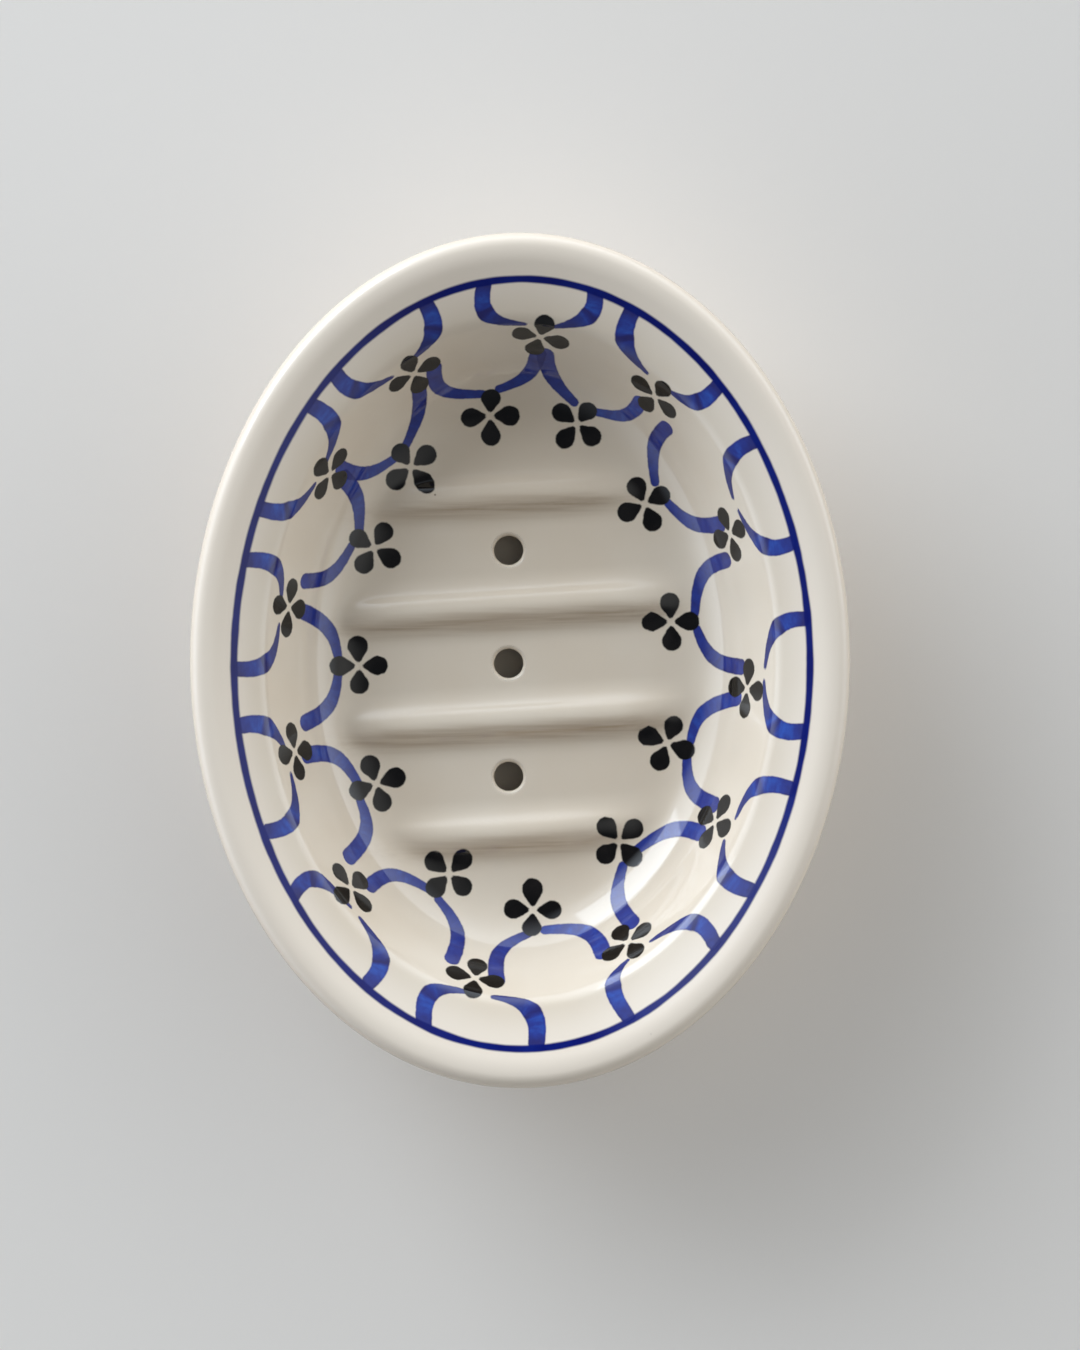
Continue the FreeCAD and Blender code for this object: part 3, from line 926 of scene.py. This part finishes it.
# %% Drip base
BASE_FLOOR = 0.0045
FOOT_HEIGHT = 0.003
BASE_INSET = 0.0045
BASE_EDGE = 0.0014
BASE_FLOOR_INSET = 0.027
SOCKET_CLEARANCE = 0.0006
SOCKET_DEPTH = 0.004
SOCKET_EDGE = 0.001
FOOT_INSET = 0.020
FOOT_TAPER = 0.0005
FOOT_WIDTH = 0.0042
FOOT_EDGE = 0.0008
BASE_SPREAD = (BASE_INSET, 1.15)
BASE_COLUMNS = 300
FLAT_ROWS = 8

base_seat_z = base_high.z
base_floor_z = FOOT_HEIGHT + BASE_FLOOR
socket_inset = spigot_inset - SOCKET_CLEARANCE
base_angles = np.linspace(0, 2 * math.pi, BASE_COLUMNS, endpoint=False)


def quarter_oval(start, corner, end, count):
    """Quarter of an oval from start to end: the corner's two sides, times one minus the sine and cosine."""
    angle = np.linspace(0, math.pi / 2, count + 1)[:, None]
    start, corner, end = np.array(start), np.array(corner), np.array(end)
    return corner + (start - corner) * (1 - np.sin(angle)) + (end - corner) * (1 - np.cos(angle))


def base_grid():
    """The base: floor, socket, seat, belly, foot ring and underside, each a run of the profile.

    With it come the rows that line the drip chamber, which are the first ones.
    """
    wall_foot = (socket_inset, base_seat_z - SOCKET_DEPTH)
    mouth = (socket_inset - SOCKET_EDGE, base_seat_z - SOCKET_EDGE)
    socket = joined(
        quarter_oval((BASE_FLOOR_INSET, base_floor_z), (socket_inset, base_floor_z), wall_foot, 22),
        straight(wall_foot, (socket_inset, mouth[1]), 3),
        arc(mouth, SOCKET_EDGE, 0, UP, 5),
    )
    edge = (BASE_INSET + BASE_EDGE, base_seat_z - BASE_EDGE)
    drop = edge[1] - FOOT_HEIGHT
    turn = 2 * math.atan((FOOT_INSET - BASE_INSET) / drop)
    belly_radius = drop / math.sin(turn)
    foot = (FOOT_INSET + FOOT_TAPER + FOOT_EDGE, FOOT_EDGE)
    foot_inside = (FOOT_INSET + FOOT_WIDTH - FOOT_EDGE, FOOT_EDGE)
    belly = joined(
        arc(edge, BASE_EDGE, UP, OUT, 6),
        arc((BASE_INSET + belly_radius, edge[1]), belly_radius, OUT, OUT + turn, 26),
        straight((FOOT_INSET, FOOT_HEIGHT), (FOOT_INSET + FOOT_TAPER, FOOT_EDGE), 4),
        arc(foot, FOOT_EDGE, OUT, DOWN, 5),
        straight((foot[0], 0), (foot_inside[0], 0), 3),
        arc(foot_inside, FOOT_EDGE, -UP, 0, 5),
        straight((FOOT_INSET + FOOT_WIDTH, FOOT_EDGE), (FOOT_INSET + FOOT_WIDTH, FOOT_HEIGHT), 3),
    )
    floor_edge = carried(socket[:1], BOWL_SPREAD, base_angles)[0]
    under_edge = carried(belly[-1:], BASE_SPREAD, base_angles)[0]
    shares = np.linspace(0, 1, FLAT_ROWS + 1)[1:-1, None, None]
    flat = np.array([1, 1, 0])
    floor_middle = floor_edge * (1 - flat)
    under_middle = under_edge * (1 - flat)
    grid = np.concatenate([
        floor_middle + shares * (floor_edge - floor_middle),
        carried(socket, BOWL_SPREAD, base_angles),
        carried(belly, BASE_SPREAD, base_angles),
        under_edge + shares * (under_middle - under_edge),
    ])
    return grid, len(shares) + len(socket)


def closed_with_fans(grid):
    """Points and faces of a ring-shaped grid, with a fan from a middle point at its first and last rows."""
    rows, columns = grid.shape[:2]
    points = np.concatenate([grid.reshape(-1, 3), grid[:1].mean(axis=1), grid[-1:].mean(axis=1)])
    column = np.arange(columns)
    after = (column + 1) % columns
    last = (rows - 1) * columns
    first_fan = np.column_stack([np.full(columns, rows * columns), column, after])
    last_fan = np.column_stack([last + column, np.full(columns, rows * columns + 1), last + after])
    return points, ring_faces(rows, columns, 0).tolist() + first_fan.tolist() + last_fan.tolist()


base_rows, chamber_rows = base_grid()
print("base seat at", round(base_seat_z, 4), "chamber floor at", base_floor_z)

# %% [markdown]
# The base has the same glaze, paler in the drip chamber, which is painted light in that shaded space. A
# potter wipes the foot ring before firing, or it would stick to the kiln, so the clay is bare and rough
# there. The edge of the wiped clay is a height with some noise, which is simpler than a second piece.

# %% Finish of the base
CLAY = colour(206, 188, 162)
CLAY_DEEP = colour(186, 165, 138)
BARE_HEIGHTS = (0.0008, 0.0011)
BARE_WOBBLE = 0.0006


def base_glaze():
    """The base's finish: the cream glaze, and bare clay where the foot ring was wiped before firing."""
    material, shader, place = new_finish("base_glaze")
    edge = place.height() + (place.noise(180.0, 3.0) - 0.5) * BARE_WOBBLE
    bare = 1 - edge.ramp(*BARE_HEIGHTS)
    clay = place.noise(900.0, 4.0).blend(CLAY, CLAY_DEEP)
    # Painted light: the drip chamber is made paler, as it lies in shade under the dish.
    glaze = (place.stored("chamber") * CHAMBER_PAINTED_LIGHT_SHARE).blend(cream_glaze(place), CHAMBER_PAINTED_LIGHT_CREAM)
    base = bare.blend(glaze, clay)
    material.node_tree.links.new(base.socket, shader.inputs["Base Color"])
    gloss(material, shader, place, bare * 0.6 + 0.1, place.noise(1500.0) * bare * 0.6)
    return material


base_points, base_faces = closed_with_fans(base_rows)
base = new_piece("glazed_drip_base", base_points, base_faces, base_glaze())
# The points that line the drip chamber, where painted light makes the glaze paler.
chamber = np.arange(len(base_points)) < chamber_rows * BASE_COLUMNS
chamber[-2] = True
stored = base.data.attributes.new("chamber", "FLOAT", "POINT")
stored.data.foreach_set("value", chamber.astype(np.float32))
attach(base, "base")
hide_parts("drip_base")
print(base.name, len(base.data.polygons), "faces", chamber.sum(), "points in the chamber")

# %% [markdown]
# The studio has a plain pale floor that reaches further than the picture. A real one would be a sheet of
# paper, so it is matt and its tone drifts very little.

# %% Floor
FLOOR_SIZE = 3.0
PALE = colour(231, 224, 216)
PALE_DEEP = colour(228, 221, 213)


def floor_finish():
    """A plain pale floor, with a faint drift in tone."""
    material, shader, place = new_finish("pale_floor")
    tone = place.noise(6.0).blend(PALE, PALE_DEEP)
    material.node_tree.links.new(tone.socket, shader.inputs["Base Color"])
    shader.inputs["Roughness"].default_value = 0.8
    shader.inputs["Specular IOR Level"].default_value = 0.1
    return material


corners = FLOOR_SIZE * np.array([[-1, -1, 0], [1, -1, 0], [1, 1, 0], [-1, 1, 0]])
studio_floor = new_piece("studio_floor", corners, [[0, 1, 2, 3]], floor_finish())
print("floor", 2 * FLOOR_SIZE, "m square")

# %% [markdown]
# The light is that of a room with one window. A softbox low on the upper left is the window, with a soft
# glow round it. It gives the two streaks in the gloss: a wide one in the hollow bend and a narrow one on the
# round shoulder. Low pale sides, dim on the near side, a high panel on the right and a dark ceiling make the
# rest. They are written into the surround, which is cheaper than a lamp for each and has no hard edges.

# %% Light
WINDOW_AZIMUTH = math.radians(134)
WINDOW_ELEVATION = math.radians(25)
WINDOW_DISTANCE = 1.0
WINDOW_SIZE = (0.62, 0.46)
WINDOW_POWER = 3.6
GLOW_ELEVATION = math.radians(24)
GLOW_BRIGHT = 2.0
GLOW_FADES = (0.82, 0.99)
DAYLIGHT = (0.90, 1.0, 1.12)
DIM_SIDE_AZIMUTH = math.radians(285)
SIDE_BRIGHT = 2.0
SIDE_DIM = 0.05
SIDE_FADES = (0.2, 0.75)
PANEL_AZIMUTH = math.radians(5)
PANEL_ELEVATION = math.radians(42)
PANEL_BRIGHT = 0.66
PANEL_FADES = (0.62, 0.95)
PANEL_COLOUR = (1.0, 1.0, 0.95)
CEILING = 0.1


def direction_to(azimuth, elevation):
    """The direction towards an azimuth, counted from +X to +Y, and an elevation."""
    level = math.cos(elevation)
    return np.array([level * math.cos(azimuth), level * math.sin(azimuth), math.sin(elevation)])


def softbox(name, azimuth, elevation, distance, size, power):
    """A rectangular softbox that faces the dish from an azimuth and an elevation."""
    light = bpy.data.lights.new(name, "AREA")
    light.shape = "RECTANGLE"
    light.size, light.size_y = size
    light.energy = power
    light.color = DAYLIGHT
    lamp = bpy.data.objects.new(name, light)
    lamp.location = direction_to(azimuth, elevation) * distance + np.array([0, 0, floor_z])
    lamp.rotation_euler = (math.pi / 2 - elevation, 0, azimuth + math.pi / 2)
    lamp.visible_camera = False
    bpy.context.scene.collection.objects.link(lamp)
    return lamp


def surround():
    """The surround: low sides, dim on one side, a glow round the window, a high panel and a dark ceiling."""
    world = bpy.data.worlds.new("pale_surround")
    bpy.context.scene.world = world
    world.use_nodes = True
    tree = world.node_tree
    direction = Wire(tree, tree.nodes.new("ShaderNodeTexCoord").outputs["Generated"])

    def towards(azimuth, elevation):
        """1 straight towards a direction, 0 square to it."""
        return direction.node("ShaderNodeVectorMath", {"operation": "DOT_PRODUCT"},
                              {0: direction, 1: direction_to(azimuth, elevation)}, "Value")

    dim = towards(DIM_SIDE_AZIMUTH, 0).ramp(-0.2, 1.0)
    up = direction.node("ShaderNodeSeparateXYZ", {}, {0: direction}, 2)
    sides = (SIDE_BRIGHT + dim * (SIDE_DIM - SIDE_BRIGHT)) * (1 - up.ramp(*SIDE_FADES))
    panel = towards(PANEL_AZIMUTH, PANEL_ELEVATION).ramp(*PANEL_FADES) * PANEL_BRIGHT
    glow = towards(WINDOW_AZIMUTH, GLOW_ELEVATION).ramp(*GLOW_FADES) * GLOW_BRIGHT
    strength = sides + glow + panel + CEILING
    tint = (panel / strength).blend((*DAYLIGHT, 1.0), (*PANEL_COLOUR, 1.0))
    tree.links.new(strength.socket, tree.nodes["Background"].inputs["Strength"])
    tree.links.new(tint.socket, tree.nodes["Background"].inputs["Color"])


softbox("window_softbox", WINDOW_AZIMUTH, WINDOW_ELEVATION, WINDOW_DISTANCE, WINDOW_SIZE, WINDOW_POWER)
surround()
bpy.context.scene.view_settings.view_transform = "Standard"
print("softbox at", WINDOW_DISTANCE, "m")
